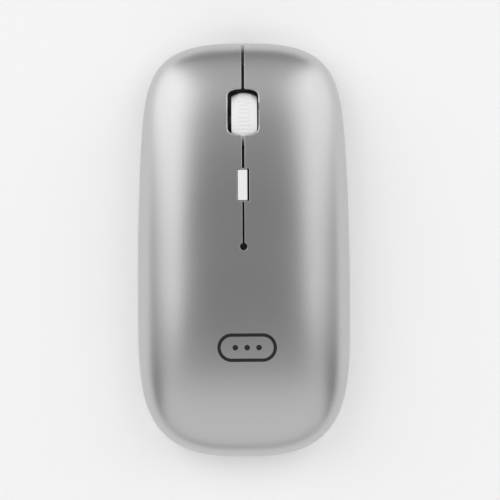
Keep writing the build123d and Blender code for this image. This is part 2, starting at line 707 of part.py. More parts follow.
# ------------------------------------------------------------------ battery
SOCKET_X, SOCKET_Y = 12.8, -3.4


def battery_cell():
    """Pouch with a thin tab along its front edge."""
    cell = box(-CELL_HX, CELL_HX, CELL_Y0, CELL_Y1 - 1.2, CELL_Z0, CELL_Z0 + CELL_H)
    cell = fillet(cell.edges().filter_by(Axis.Y), 1.6)
    return one(cell + box(-CELL_HX + 0.6, CELL_HX - 0.6, CELL_Y1 - 1.4, CELL_Y1,
                          CELL_Z0 + 1.6, CELL_Z0 + 2.0))


def battery_tape():
    """Between the dock's roof and the cell."""
    return one(box(-8.0, 8.0, -40.0, -20.0, DOCK_Z + DOCK_ROOF, CELL_Z0))


def battery_socket():
    socket = block(SOCKET_X, SOCKET_Y, 6.0, 4.6, PCB_Z1, PCB_Z1 + 4.4)
    return one(socket - box(SOCKET_X - 2.5, SOCKET_X + 2.5, SOCKET_Y - 3, SOCKET_Y + 1.6,
                            PCB_Z1 + 0.6, PCB_Z1 + 3.9))


def battery_plug():
    return one(box(SOCKET_X - 2.4, SOCKET_X + 2.4, SOCKET_Y - 4.6, SOCKET_Y + 1.4,
                   PCB_Z1 + 0.7, PCB_Z1 + 3.8))


def battery_wire(offset, lift):
    """A wire from the cell's tab to the plug, offset in x from the plug's centre."""
    x = SOCKET_X + offset
    path = Spline(
        (x - 0.3, CELL_Y1 + 0.02, CELL_Z0 + 1.8),
        (x + 0.2, -9.6, CELL_Z0 + 2.4 + lift),
        (x - 0.1, -8.8, CELL_Z0 + 1.9 + lift),
        (x, SOCKET_Y - 4.62, PCB_Z1 + 2.2),
        tangents=[(0, 1, 0), (0, 1, 0)],
    )
    return one(sweep(Plane(origin=path @ 0, z_dir=path % 0) * Circle(0.45), path))


# ------------------------------------------------------------------ screws
def screws(places, seat_z, up, length, radius, head_r, head_h):
    """Cross-slot screws; up is 1 when the shank points up from the seat, else -1."""
    face_z = seat_z - up * head_h
    slot = sorted((face_z + up * 0.6, face_z - up))
    solids = []
    for x, y in places:
        body = (z_cyl(x, y, *sorted((seat_z, face_z)), head_r)
                + z_cyl(x, y, *sorted((seat_z, seat_z + up * length)), radius))
        cross = block(x, y, 0.5, 2.2, *slot) + block(x, y, 2.2, 0.5, *slot)
        solids.append(one(body - cross))
    return Compound(children=solids)


# ------------------------------------------------------------------ receiver
RX_CAP_Y0, RX_CAP_Y1, RX_CAP_HX = -39.8, -32.9, 7.1
RX_Z0, RX_Z1 = 0.75, 6.15
RX_ZC = (RX_Z0 + RX_Z1) / 2
RX_TIP_Y = -20.7
RX_HX, RX_H, RX_T = 6.0, 4.5, 0.3       # plug shell: half width, height, wall
RX_FIT = 0.02
# contacts: centre x, length
RX_CONTACTS = [(-3.5, 7.6), (-1.0, 6.6), (1.0, 6.6), (3.5, 7.6)]
RX_CONTACT_W = 1.1


def receiver_cap():
    cap = box(-RX_CAP_HX, RX_CAP_HX, RX_CAP_Y0, RX_CAP_Y1, RX_Z0, RX_Z1)
    cap = fillet(cap.edges().filter_by(Axis.Y), 1.1)
    cap = fillet(cap.edges().group_by(Axis.Y)[0], 0.45)
    # grip grooves on both sides
    for side in SIDES:
        for i in range(4):
            y = RX_CAP_Y0 + 1.3 + 1.25 * i
            cap = cap - side_box(side, 6.85, 8, y, y + 0.5, RX_Z0 + 1.2, RX_Z1 - 1.2)
    # fine grooves across both broad faces
    for z0, z1 in ((RX_Z0 - 0.5, RX_Z0 + 0.1), (RX_Z1 - 0.1, RX_Z1 + 0.5)):
        for y in (RX_CAP_Y0 + 1.35, RX_CAP_Y1 - 1.75):
            cap = cap - box(-5.6, 5.6, y, y + 0.35, z0, z1)
    # socket for the plug shell, and the hollow behind it
    half_w, half_h = RX_HX + RX_FIT, RX_H / 2 + RX_FIT
    return one(cut(
        cap,
        box(-half_w, half_w, RX_CAP_Y1 - 3.4, RX_CAP_Y1 + 1, RX_ZC - half_h, RX_ZC + half_h),
        box(-5.0, 5.0, RX_CAP_Y0 + 1.2, RX_CAP_Y1 - 3.0, RX_ZC - 1.6, RX_ZC + 1.6),
    ))


def receiver_plug_shell():
    """Sheet-metal tube with windows through both broad faces."""
    half_w, half_h = RX_HX - RX_T, RX_H / 2 - RX_T
    shell = box(-RX_HX, RX_HX, RX_CAP_Y1 - 3.3, RX_TIP_Y, RX_ZC - RX_H / 2, RX_ZC + RX_H / 2)
    shell = fillet(shell.edges().filter_by(Axis.Y), 0.4)
    shell = shell - box(-half_w, half_w, RX_CAP_Y1 - 5, RX_TIP_Y + 1,
                        RX_ZC - half_h, RX_ZC + half_h)
    z0, z1 = RX_ZC - 5, RX_ZC + 5
    for side in SIDES:
        x = side * 2.95
        shell = shell - box(x - 1.2, x + 1.2, RX_TIP_Y - 7.8, RX_TIP_Y - 5.6, z0, z1)
        x = side * 2.537
        shell = shell - box(x - 0.4, x + 0.4, RX_CAP_Y1 - 1.0, RX_CAP_Y1 + 1.7, z0, z1)
    return one(shell)


def receiver_tongue():
    return one(box(-5.6, 5.6, RX_CAP_Y1 + 0.4, RX_TIP_Y - 0.6, RX_ZC - 1.9, RX_ZC - 0.1))


def receiver_contacts():
    front = RX_TIP_Y - 1.2
    half = RX_CONTACT_W / 2
    return Compound(children=[
        one(box(x - half, x + half, front - length, front, RX_ZC - 0.1, RX_ZC + 0.02))
        for x, length in RX_CONTACTS])


def receiver_board():
    return one(box(-4.8, 4.8, RX_CAP_Y0 + 1.5, RX_CAP_Y1 + 0.3, RX_ZC - 1.2, RX_ZC - 0.4))


# ------------------------------------------------------------------ assembly and export
cover = slotted_cover()
backing = dome_solid(BACKING_INSET, COARSE)
MIDDLE_SWITCH = (SADDLE_X + 0.4, WHEEL_Y)
DPI_SWITCH = (DPI_X, DPI_Y)

parts = {
    "left_button": key(-1, cover, backing),
    "right_button": key(1, cover, backing),
    "top_cover": top_cover(cover, backing),
    **{name: one(foot_prism(*sizes, FOOT_T)) for name, sizes in FEET.items()},
    "bottom_case": bottom_case(),
    "inner_frame": inner_frame(),
    "main_board": main_board(),
    "left_switch_case": key_switch_case(-1),
    "left_switch_plunger": key_switch_plunger(-1),
    "right_switch_case": key_switch_case(1),
    "right_switch_plunger": key_switch_plunger(1),
    "middle_switch_case": tact_case(*MIDDLE_SWITCH),
    "middle_switch_plunger": tact_plunger(*MIDDLE_SWITCH),
    "dpi_switch_case": tact_case(*DPI_SWITCH),
    "dpi_switch_plunger": tact_plunger(*DPI_SWITCH),
    "wheel_tyre": wheel_tyre(),
    "wheel_hub": wheel_hub(),
    "encoder_rotor": encoder_rotor(),
    "encoder_case": encoder_case(),
    "axle_saddle": axle_saddle(),
    "saddle_guides": saddle_guides(),
    "dpi_button": dpi_button(),
    "optical_sensor": optical_sensor(),
    "sensor_lens": sensor_lens(),
    "sensor_led": sensor_led(),
    "microcontroller": chip(-15.5, -10.5, 14, 19, height=0.9),
    "crystal": crystal(),
    "board_capacitors": board_capacitors(),
    "charge_controller": chip(9.6, 12.6, 13.5, 17.5, height=1.3),
    "board_antenna": board_antenna(),
    "charge_port_shell": charge_port_shell(),
    "charge_port_tongue": charge_port_tongue(),
    "power_switch_case": power_switch_case(),
    "power_slider": power_slider(),
    "battery_cell": battery_cell(),
    "battery_tape": battery_tape(),
    "battery_socket": battery_socket(),
    "battery_plug": battery_plug(),
    "battery_wire_red": battery_wire(-0.95, lift=0.5),
    "battery_wire_black": battery_wire(0.95, lift=0.1),
    "case_screws": screws(CASE_SCREWS, CASE_SEAT_Z, up=1, length=8.0, radius=0.98,
                          head_r=1.9, head_h=1.4),
    "frame_screws": screws(FRAME_SCREWS, PCB_Z1 + FRAME_EAR_T, up=-1, length=4.6, radius=0.93,
                           head_r=1.8, head_h=1.2),
    "receiver_cap": receiver_cap(),
    "receiver_plug_shell": receiver_plug_shell(),
    "receiver_tongue": receiver_tongue(),
    "receiver_contacts": receiver_contacts(),
    "receiver_board": receiver_board(),
}

os.makedirs("parts", exist_ok=True)
for name, shape in parts.items():
    shape.label = name
    export_step(shape, f"parts/{name}.step")
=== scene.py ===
"""A two-key computer mouse with a silver cover, lying on a pale floor and seen from above.

+X is the mouse's right, +Y its nose and +Z up. Shape dimensions are in mm and become metres
(MM) as meshes are made; the floor, lights and camera are in metres. The cover (two keys and a
palm piece), the printed badge and the battery wires are built here; the rest is CAD.
"""
import json
import math

import bmesh
import bpy
import numpy as np
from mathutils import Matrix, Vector
from mathutils.geometry import delaunay_2d_cdt


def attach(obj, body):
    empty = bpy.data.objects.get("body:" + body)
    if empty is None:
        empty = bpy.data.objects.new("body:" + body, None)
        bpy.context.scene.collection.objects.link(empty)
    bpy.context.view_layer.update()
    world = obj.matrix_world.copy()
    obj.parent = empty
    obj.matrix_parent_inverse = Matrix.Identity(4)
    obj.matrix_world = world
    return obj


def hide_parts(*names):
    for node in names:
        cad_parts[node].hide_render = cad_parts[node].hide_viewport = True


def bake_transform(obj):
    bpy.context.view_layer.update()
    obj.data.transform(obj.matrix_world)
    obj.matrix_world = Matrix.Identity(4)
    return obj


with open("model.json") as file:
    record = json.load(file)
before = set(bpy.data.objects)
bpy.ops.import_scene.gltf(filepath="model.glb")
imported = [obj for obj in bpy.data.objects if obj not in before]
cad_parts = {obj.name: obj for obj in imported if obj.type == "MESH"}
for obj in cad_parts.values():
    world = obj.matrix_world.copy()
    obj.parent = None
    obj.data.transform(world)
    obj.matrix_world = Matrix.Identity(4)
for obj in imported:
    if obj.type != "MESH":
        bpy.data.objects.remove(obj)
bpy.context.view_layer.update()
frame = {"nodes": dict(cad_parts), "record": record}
MM = 0.001
QUARTER = math.pi / 2

# ---------------------------------------------------------------- body surface (mm)
# Plan outline
HALF_WIDTH = 28.75
NOSE_Y = 56.0
TAIL_Y = -56.0
WIDEST_Y = -10.0
NOSE_LENGTH = NOSE_Y - WIDEST_Y
TAIL_LENGTH = WIDEST_Y - TAIL_Y
NOSE_TAPER = 3.1                     # half width lost towards the nose
PLAN_POWER = 2.75
PLAN_POWER_NOSE = 10.5
PLAN_POWER_TAIL = 4.4

# Dome above the widest level
EQUATOR_Z = 7.7
CROWN_HEIGHT = 14.0
HUMP_Y = -8.0
SECTION_POWER = 3.2
SPINE_POWER_NOSE = 3.0
SPINE_POWER_TAIL = 2.4

COVER_THICKNESS = 1.1
SKIN_STEP = 0.02    # grid spacing on the flat map, radians


def plan_length(ahead):
    """Distance from the widest line to the nose where ahead is true, else to the tail."""
    return np.where(ahead, NOSE_LENGTH, TAIL_LENGTH)


def half_width(y):
    y = np.asarray(y, float)
    ahead = y >= WIDEST_Y
    reach = np.clip(np.abs(y - WIDEST_Y) / plan_length(ahead), 0, 1)
    widest = np.where(ahead, HALF_WIDTH - NOSE_TAPER * reach * reach, HALF_WIDTH)
    power = np.where(ahead, PLAN_POWER_NOSE, PLAN_POWER_TAIL)
    return widest * np.maximum(0.0, 1 - reach**power) ** (1 / PLAN_POWER)


def outline(unit_x, unit_y):
    """Plan outline met in each scaled direction, from the widest point; found by bisection."""
    unit_x, unit_y = np.asarray(unit_x, float), np.asarray(unit_y, float)
    length = plan_length(unit_y >= 0)
    low, high = np.zeros_like(unit_x), np.full_like(unit_x, 1.6)
    for _ in range(44):
        middle = (low + high) / 2
        width = half_width(WIDEST_Y + middle * unit_y * length)
        within = (np.abs(middle * unit_y) < 1) & (np.abs(middle * unit_x) * HALF_WIDTH < width)
        low, high = np.where(within, middle, low), np.where(within, high, middle)
    return low * unit_x * HALF_WIDTH, low * unit_y * length


def spine(y):
    """Height of the centre line above the equator."""
    y = np.asarray(y, float)
    ahead = y >= HUMP_Y
    reach = np.abs(y - HUMP_Y) / np.where(ahead, NOSE_Y - HUMP_Y, HUMP_Y - TAIL_Y)
    power = np.where(ahead, SPINE_POWER_NOSE, SPINE_POWER_TAIL)
    return CROWN_HEIGHT * np.sqrt(np.maximum(0.0, 1 - np.clip(reach, 0, 1) ** power))


def crown(x, y):
    """Height of the dome above the equator."""
    width = half_width(y)
    share = np.where(width > 1e-9, np.abs(x) / np.maximum(width, 1e-9), 1.0)
    return spine(y) * np.sqrt(np.maximum(0.0, 1 - np.minimum(share, 1.0) ** SECTION_POWER))


def dome(map_x, map_y):
    """Body points from the flat map: the distance out is the angle from the top, rim at 90 deg."""
    angle = np.hypot(map_x, map_y)
    safe = np.maximum(angle, 1e-9)
    rim_x, rim_y = outline(np.where(angle < 1e-9, 1.0, map_x / safe),
                           np.where(angle < 1e-9, 0.0, map_y / safe))
    x = np.sin(angle) * rim_x
    y = WIDEST_Y + np.sin(angle) * rim_y
    height = crown(x, y)
    return np.stack([x, y, EQUATOR_Z + np.where(angle <= QUARTER, height, -height)], -1)


def dome_normals(map_x, map_y):
    nudge = 1e-4
    slope_x = dome(map_x + nudge, map_y) - dome(map_x - nudge, map_y)
    slope_y = dome(map_x, map_y + nudge) - dome(map_x, map_y - nudge)
    normals = np.cross(slope_x, slope_y)
    return normals / np.maximum(np.linalg.norm(normals, axis=-1, keepdims=True), 1e-12)


def to_map(x, y):
    """Flat-map coordinates of plan points."""
    x, y = np.asarray(x, float), np.asarray(y, float)
    scaled_x, scaled_y = x / HALF_WIDTH, (y - WIDEST_Y) / plan_length(y >= WIDEST_Y)
    length = np.maximum(np.hypot(scaled_x, scaled_y), 1e-12)
    unit_x, unit_y = scaled_x / length, scaled_y / length
    rim_x, rim_y = outline(unit_x, unit_y)
    share = np.hypot(x, y - WIDEST_Y) / np.maximum(np.hypot(rim_x, rim_y), 1e-12)
    angle = np.arcsin(np.clip(share, 0, 1))
    return angle * unit_x, angle * unit_y


def surface(x, y):
    """Dome points and normals above plan points."""
    map_x, map_y = to_map(x, y)
    return dome(map_x, map_y), dome_normals(map_x, map_y)


# ---------------------------------------------------------------- key edge beside the slit (mm)
SEAM_Y = 1.0                         # joint between keys and palm
DOT_Y = 0.9                          # round hole where the slit meets the seam
DOT_RADIUS = 1.0
SEAM_ANGLE = math.asin((SEAM_Y - DOT_Y) / DOT_RADIUS)    # where the seam cuts the hole

NOSE_SLIT = 0.375                    # half widths of the slit
REAR_SLIT = 0.275
NOSE_SLIT_END_Y = 46.0
SLIT_ROLL = 0.16                     # radii of the rolled-over edges
WHEEL_ROLL = 0.42
POCKET_ROLL = 0.2

# Left key's edge, nose to dot: x, y, corner radius, roll radius of the run after the point
LEFT_EDGE = [
    (-NOSE_SLIT, NOSE_SLIT_END_Y, 0, SLIT_ROLL),
    (-NOSE_SLIT, 43.4, 0.45, WHEEL_ROLL),        # round the wheel
    (-2.15, 43.4, 5.0, WHEEL_ROLL),
    (-4.1, 42.5, 1.5, WHEEL_ROLL),
    (-4.1, 32.0, 1.5, WHEEL_ROLL),
    (-2.15, 31.1, 5.0, WHEEL_ROLL),
    (-0.35, 31.1, 0.45, SLIT_ROLL),
    (-0.35, 21.95, 0.25, POCKET_ROLL),           # round the rectangular pocket
    (-1.6, 21.95, 0.12, POCKET_ROLL),
    (-1.6, 13.25, 0.12, POCKET_ROLL),
    (-REAR_SLIT, 13.25, 0.25, SLIT_ROLL),
    (-REAR_SLIT, 2.2, 0, SLIT_ROLL),
]


def round_corners(corners, run_step=0.28, arc_step=0.2):
    """Rows of (x, y, corner radius, roll) to a dense list of (x, y, roll)."""
    dense = []

    def run(start, end, roll):
        count = max(1, int(math.hypot(end[0] - start[0], end[1] - start[1]) / run_step))
        for i in range(count):
            dense.append((start[0] + (end[0] - start[0]) * i / count,
                          start[1] + (end[1] - start[1]) * i / count, roll))

    current = corners[0][:2]
    for before, here, after in zip(corners, corners[1:], corners[2:]):
        corner, radius = np.array(here[:2]), here[2]
        back, ahead = np.array(before[:2]) - corner, np.array(after[:2]) - corner
        back, ahead = back / np.linalg.norm(back), ahead / np.linalg.norm(ahead)
        angle = math.acos(max(-1, min(1, float(back @ ahead))))
        cut = radius / math.tan(angle / 2)
        arc_start, arc_end = corner + back * cut, corner + ahead * cut
        run(current, arc_start, before[3])
        bisector = (back + ahead) / np.linalg.norm(back + ahead)
        centre = corner + bisector * radius / math.sin(angle / 2)
        first = math.atan2(*(arc_start - centre)[::-1])
        last = math.atan2(*(arc_end - centre)[::-1])
        turn = (last - first + math.pi) % (2 * math.pi) - math.pi
        count = max(5, int(abs(turn) * radius / arc_step))
        for i in range(count):
            direction = first + turn * i / count
            roll = before[3] + (here[3] - before[3]) * i / count
            dense.append((centre[0] + radius * math.cos(direction),
                          centre[1] + radius * math.sin(direction), roll))
        current = tuple(arc_end)
    last_roll = corners[-2][3]
    run(current, corners[-1][:2], last_roll)
    dense.append((*corners[-1][:2], last_roll))
    return dense


def left_edge():
    """Dense (x, y, roll) of the left key's edge: nose slit, LEFT_EDGE, upper left of the dot."""
    slit_x = np.array([-(NOSE_SLIT + SLIT_ROLL) / HALF_WIDTH])
    tip_y = float(outline(slit_x, np.array([1.0]))[1][0]) + WIDEST_Y
    slit_end = math.asin((NOSE_SLIT_END_Y - WIDEST_Y) / (tip_y - WIDEST_Y))
    slit = [(-NOSE_SLIT, WIDEST_Y + (tip_y - WIDEST_Y) * math.sin(angle), SLIT_ROLL)
            for angle in np.linspace(QUARTER, slit_end, 26)][:-1]
    first = math.atan2(math.sqrt(DOT_RADIUS**2 - REAR_SLIT**2), -REAR_SLIT)
    last = math.pi - SEAM_ANGLE
    dot = []
    for i in range(9):
        angle = first + (last - first) * i / 8
        dot.append((DOT_RADIUS * math.cos(angle), DOT_Y + DOT_RADIUS * math.sin(angle), SLIT_ROLL))
    return slit + round_corners(LEFT_EDGE) + dot


def left_of_travel(x, y):
    """Unit vectors to the left of travel along an open line; here, towards the opening."""
    points = np.column_stack([x, y])
    travel = np.zeros_like(points)
    travel[1:-1] = points[2:] - points[:-2]
    travel[0], travel[-1] = points[1] - points[0], points[-1] - points[-2]
    travel /= np.maximum(np.linalg.norm(travel, axis=1, keepdims=True), 1e-12)
    return np.stack([-travel[:, 1], travel[:, 0]], -1)


# ---------------------------------------------------------------- cross-sections of skin edges
RINGS = 7                            # rings of vertices from the outer to the inner skin
ROLL_ANGLES = [math.radians(angle) for angle in (0, 30, 60, 90)]
SEAM_DEPTHS = (0, 0.15, 0.3, 0.5, 0.8, 1.0, COVER_THICKNESS)
RIM_ROLL = 0.22
DOWN_BLEND_Y = (49.0, 53.5)          # edges go from vertical to square with the surface


class Strip:
    """A run of edge points: flat-map places (n, 2), rings and their normals (RINGS, n, 3)."""

    def __init__(self, flat, rings, normals):
        self.flat = flat
        self.rings = rings
        self.normals = normals

    def __getitem__(self, points):
        return Strip(self.flat[points], self.rings[:, points], self.normals[:, points])

    def mirrored(self):
        across = np.array([-1.0, 1, 1])
        return Strip(self.flat * across[:2], self.rings * across, self.normals * across)


def join(*strips):
    return Strip(np.concatenate([strip.flat for strip in strips]),
                 np.concatenate([strip.rings for strip in strips], axis=1),
                 np.concatenate([strip.normals for strip in strips], axis=1))


def empty_rings(count):
    return np.zeros((RINGS, count, 3)), np.zeros((RINGS, count, 3))


def down_direction(y, normals):
    """Direction in which an edge wall drops; near the nose it follows the surface normal."""
    start, end = DOWN_BLEND_Y
    share = np.clip((y - start) / (end - start), 0, 1)
    weight = (share * share * (3 - 2 * share))[:, None]
    zeros = np.zeros(len(y))
    vertical = np.column_stack([zeros, zeros, -1 / np.maximum(normals[:, 2], 0.35)])
    return vertical * (1 - weight) - normals * weight


def edge_strip(x, y, roll, outward):
    """Rolled edge at plan points; outward points into the opening."""
    rings, normals = empty_rings(len(x))
    wall = np.column_stack([outward, np.zeros(len(x))])
    for k, angle in enumerate(ROLL_ANGLES):
        inset = roll * (1 - math.sin(angle))
        skin, skin_normal = surface(x - inset * outward[:, 0], y - inset * outward[:, 1])
        drop = roll * (1 - math.cos(angle))
        rings[k] = skin + down_direction(y, skin_normal) * drop[:, None]
        turned = skin_normal * math.cos(angle) + wall * math.sin(angle)
        normals[k] = turned / np.linalg.norm(turned, axis=1, keepdims=True)
    skin, skin_normal = surface(x, y)
    down = down_direction(y, skin_normal)
    rings[4] = skin + down * ((roll + COVER_THICKNESS) / 2)[:, None]
    rings[5] = skin + down * COVER_THICKNESS
    normals[4] = normals[5] = wall
    inner_x, inner_y = x - roll * outward[:, 0], y - roll * outward[:, 1]
    skin, skin_normal = surface(inner_x, inner_y)
    rings[6], normals[6] = skin - skin_normal * COVER_THICKNESS, -skin_normal
    return Strip(np.column_stack(to_map(inner_x, inner_y)), rings, normals)


def seam_strip(x, facing):
    """Square-cut edge on the seam, dot to rim; facing is the sign of Y its wall faces."""
    y = np.full(len(x), SEAM_Y)
    rings, normals = empty_rings(len(x))
    skin, skin_normal = surface(x, y)
    for k, depth in enumerate(SEAM_DEPTHS):
        rings[k] = skin - skin_normal * depth
        normals[k] = [0.0, facing, 0.0]
    normals[0], normals[-1] = skin_normal, -skin_normal
    flat = np.column_stack(to_map(x, y))
    flat[-1] = flat[-1] / np.hypot(*flat[-1]) * math.pi / 2      # exactly on the rim
    return Strip(flat, rings, normals)


def rim_strip(start, end, count):
    """Lower rim of the cover, counter-clockwise between two plan points."""
    def direction(point):
        length = plan_length(point[1] >= WIDEST_Y)
        return math.atan2((point[1] - WIDEST_Y) / length, point[0] / HALF_WIDTH)

    first, last = direction(start), direction(end)
    while last <= first:
        last += 2 * math.pi
    angles = first + (last - first) * np.arange(count) / (count - 1)
    map_x, map_y = np.cos(angles) * math.pi / 2, np.sin(angles) * math.pi / 2

    rings, normals = empty_rings(count)
    skin, side = dome(map_x, map_y), dome_normals(map_x, map_y)
    side[:, 2] = 0
    side /= np.linalg.norm(side, axis=1, keepdims=True)
    up = np.array([0, 0, 1.0])
    for k, angle in enumerate(ROLL_ANGLES):
        rings[k] = (skin - side * RIM_ROLL * (1 - math.cos(angle))
                    - up * RIM_ROLL * math.sin(angle))
        normals[k] = side * math.cos(angle) - up * math.sin(angle)
    rings[4], normals[4] = skin - side * 0.9 - up * RIM_ROLL, -up
    rings[5], normals[5] = skin - side * (COVER_THICKNESS - 0.04) - up * 0.1, -side
    rings[6], normals[6] = skin - side * COVER_THICKNESS, -side
    return Strip(np.column_stack([map_x, map_y]), rings, normals)


# ---------------------------------------------------------------- room for the wheel (mm)
WHEEL_X = 0.35
WHEEL_Y = 35.2
WHEEL_Z = 13.6
WHEEL_RADIUS = 7.3
WHEEL_EDGE_RADIUS = 6.4
WHEEL_WIDTH = 6.9
WHEEL_GAP = 0.34
RELIEF_REACH = 1.06                  # half widths of the wheel hollowed out everywhere
RELIEF_REACH_ENDS = 1.14             # the same, further than RELIEF_ENDS from the axle in Y
RELIEF_ENDS = 2.8


def wheel_relief(points):
    """Hollow hidden faces to the tyre's crown plus a gap, so a pressed key clears the tyre."""
    from_y, from_z = points[:, 1] - WHEEL_Y, points[:, 2] - WHEEL_Z
    radius = np.hypot(from_y, from_z)
    across = np.abs(points[:, 0] - WHEEL_X) / (WHEEL_WIDTH / 2)
    crown_drop = (WHEEL_RADIUS - WHEEL_EDGE_RADIUS) * np.minimum(across, 1.0) ** 2
    clear = WHEEL_RADIUS - crown_drop + WHEEL_GAP
    near = (across < RELIEF_REACH) | (
        (across < RELIEF_REACH_ENDS) & (np.abs(from_y) > RELIEF_ENDS))
    hit = (radius < clear) & (from_z > 0) & near
    push = np.where(hit, clear / np.maximum(radius, 1e-9), 1.0)
    moved = points.copy()
    moved[:, 1], moved[:, 2] = WHEEL_Y + from_y * push, WHEEL_Z + from_z * push
    return moved


# ---------------------------------------------------------------- closed skins
def link_object(name, mesh):
    obj = bpy.data.objects.new(name, mesh)
    bpy.context.scene.collection.objects.link(obj)
    return obj


def mesh_from_mm(name, verts, faces):
    mesh = bpy.data.meshes.new(name)
    mesh.from_pydata([tuple(vert * MM) for vert in verts], [], faces)
    return mesh


def shade_smooth(mesh):
    mesh.polygons.foreach_set("use_smooth", [True] * len(mesh.polygons))


def inside(polygon, points):
    """Even-odd test of points against a closed polygon."""
    x, y = points[:, 0], points[:, 1]
    result = np.zeros(len(points), bool)
    for i in range(len(polygon)):
        (x0, y0), (x1, y1) = polygon[i], polygon[i - 1]
        if y0 != y1:
            result ^= ((y0 > y) != (y1 > y)) & (x < (x1 - x0) * (y - y0) / (y1 - y0) + x0)
    return result


def interior_grid(boundary):
    """Staggered grid of flat-map points inside the boundary and clear of it."""
    ticks = np.arange(-math.pi / 2, math.pi / 2 + SKIN_STEP, SKIN_STEP)
    grid_x, grid_y = np.meshgrid(ticks, ticks)
    grid_x = grid_x + (np.arange(len(ticks)) % 2)[:, None] * SKIN_STEP / 2
    grid = np.column_stack([grid_x.ravel(), grid_y.ravel()])
    grid = grid[np.hypot(grid[:, 0], grid[:, 1]) < math.pi / 2 - 0.3 * SKIN_STEP]
    grid = grid[inside(boundary, grid)]
    keep = np.ones(len(grid), bool)
    batch = 500                      # keeps the distance table small
    for i in range(0, len(grid), batch):
        part = grid[i:i + batch]
        nearest = np.min((part[:, None, 0] - boundary[None, :, 0]) ** 2
                         + (part[:, None, 1] - boundary[None, :, 1]) ** 2, axis=1)
        keep[i:i + batch] = nearest > (0.42 * SKIN_STEP) ** 2
    return grid[keep]


def make_skin(name, border):
    """A closed shell inside the border strip: outer skin, edge rings and inner skin."""
    boundary = border.flat
    edge_count = len(boundary)
    points = np.vstack([boundary, interior_grid(boundary)])
    edges = [(i, (i + 1) % edge_count) for i in range(edge_count)]
    result = delaunay_2d_cdt([Vector(point) for point in points], edges,
                             [list(range(edge_count))], 1, 1e-7)
    flat_verts, triangles, sources = result[0], result[2], result[3]
    flat = np.array([[vert.x, vert.y] for vert in flat_verts])
    new_index = {old: new for new, olds in enumerate(sources) for old in olds}
    loop = [new_index[i] for i in range(edge_count)]

    outer = dome(flat[:, 0], flat[:, 1])
    normals = dome_normals(flat[:, 0], flat[:, 1])
    outer[loop], normals[loop] = border.rings[0], border.normals[0]
    inner = outer - normals * COVER_THICKNESS
    inner[loop] = border.rings[-1]
    skin_count = len(flat)
    verts = np.vstack([outer, inner, *border.rings[1:-1]])
    all_normals = np.vstack([normals, -normals, *border.normals[1:-1]])
    # The outer skin and the ring next to it show, so only the others are hollowed.
    first_hidden = 2 * skin_count + edge_count
    for hidden in (slice(skin_count, 2 * skin_count), slice(first_hidden, None)):
        verts[hidden] = wheel_relief(verts[hidden])

    faces = []
    for triangle in triangles:
        first, second, third = (flat[i] for i in triangle[:3])
        face = list(triangle)
        if ((second[0] - first[0]) * (third[1] - first[1])
                - (second[1] - first[1]) * (third[0] - first[0])) < 0:
            face.reverse()
        faces.append(face)
        faces.append([skin_count + i for i in reversed(face)])

    ring_index = [loop]
    for k in range(RINGS - 2):
        start = 2 * skin_count + k * edge_count
        ring_index.append([start + i for i in range(edge_count)])
    ring_index.append([skin_count + i for i in loop])
    area = sum(boundary[i][0] * boundary[j][1] - boundary[j][0] * boundary[i][1]
               for i, j in edges)
    for upper, lower in zip(ring_index, ring_index[1:]):
        for i, j in edges:
            quad = [upper[j], upper[i], lower[i], lower[j]]
            if area < 0:
                quad.reverse()
            faces.append(quad)

    mesh = mesh_from_mm(name, verts, faces)
    shade_smooth(mesh)
    mesh.normals_split_custom_set_from_vertices([tuple(normal) for normal in all_normals])
    mesh.update()
    return link_object(name, mesh)


# ---------------------------------------------------------------- cover: two keys and the palm
SEAM_POINTS = 60
KEY_RIM_POINTS = 150
SEAM_HALF_WIDTH = float(half_width(SEAM_Y))


def left_seam(roll):
    """X of the seam points from the dot to the left rim, dense near the rim."""
    start = DOT_RADIUS * math.cos(SEAM_ANGLE) + roll
    first = math.asin(start / SEAM_HALF_WIDTH)
    return np.sin(first + (QUARTER - first) * np.linspace(0, 1, SEAM_POINTS)) * -SEAM_HALF_WIDTH


def build_key(name, mirror, edge, seam_x):
    """One key; mirror is 1 for the left key and -1 for the right."""
    x, y, roll, outward = edge
    x, outward = x * mirror, outward * np.array([mirror, 1.0])
    nose_point = (float(x[0] - roll[0] * outward[0, 0]), float(y[0]))
    flank_point = (-SEAM_HALF_WIDTH * mirror, SEAM_Y)
    if mirror > 0:
        rim = rim_strip(nose_point, flank_point, KEY_RIM_POINTS)[::-1]
    else:
        rim = rim_strip(flank_point, nose_point, KEY_RIM_POINTS)
    # Loop: edge from nose to dot, seam from dot to rim, rim back to the nose
    border = join(edge_strip(x, y, roll, outward), seam_strip(seam_x * mirror, -1.0)[1:], rim[1:-1])
    return make_skin(name, border)


def build_palm(roll, seam_x):
    angles = np.linspace(math.pi - SEAM_ANGLE, 2 * math.pi + SEAM_ANGLE, 33)
    outward = np.column_stack([-np.cos(angles), -np.sin(angles)])
    outward[0], outward[-1] = (1.0, 0.0), (-1.0, 0.0)
    dot = edge_strip(DOT_RADIUS * np.cos(angles), DOT_Y + DOT_RADIUS * np.sin(angles),
                     np.full(len(angles), roll), outward)
    seam = seam_strip(seam_x, 1.0)
    rim = rim_strip((-SEAM_HALF_WIDTH, SEAM_Y), (SEAM_HALF_WIDTH, SEAM_Y), 2 * KEY_RIM_POINTS)
    # Loop: rim round the tail, right seam to the dot, under the dot, left seam to the rim
    border = join(rim[:-1], seam.mirrored()[:0:-1], dot[::-1], seam[1:-1])
    return make_skin("palm_skin", border)


def build_cover():
    x, y, roll = np.array(left_edge()).T.copy()
    roll[2:-2] = np.convolve(roll, np.ones(5) / 5, "valid")      # ease between roll radii
    outward = left_of_travel(x, y)
    outward[-1] = (1.0, 0.0)
    edge = (x, y, roll, outward)
    seam_x = left_seam(roll[-1])
    return {
        "left": build_key("left_key_skin", 1.0, edge, seam_x),
        "right": build_key("right_key_skin", -1.0, edge, seam_x),
        "palm": build_palm(roll[-1], seam_x),
    }


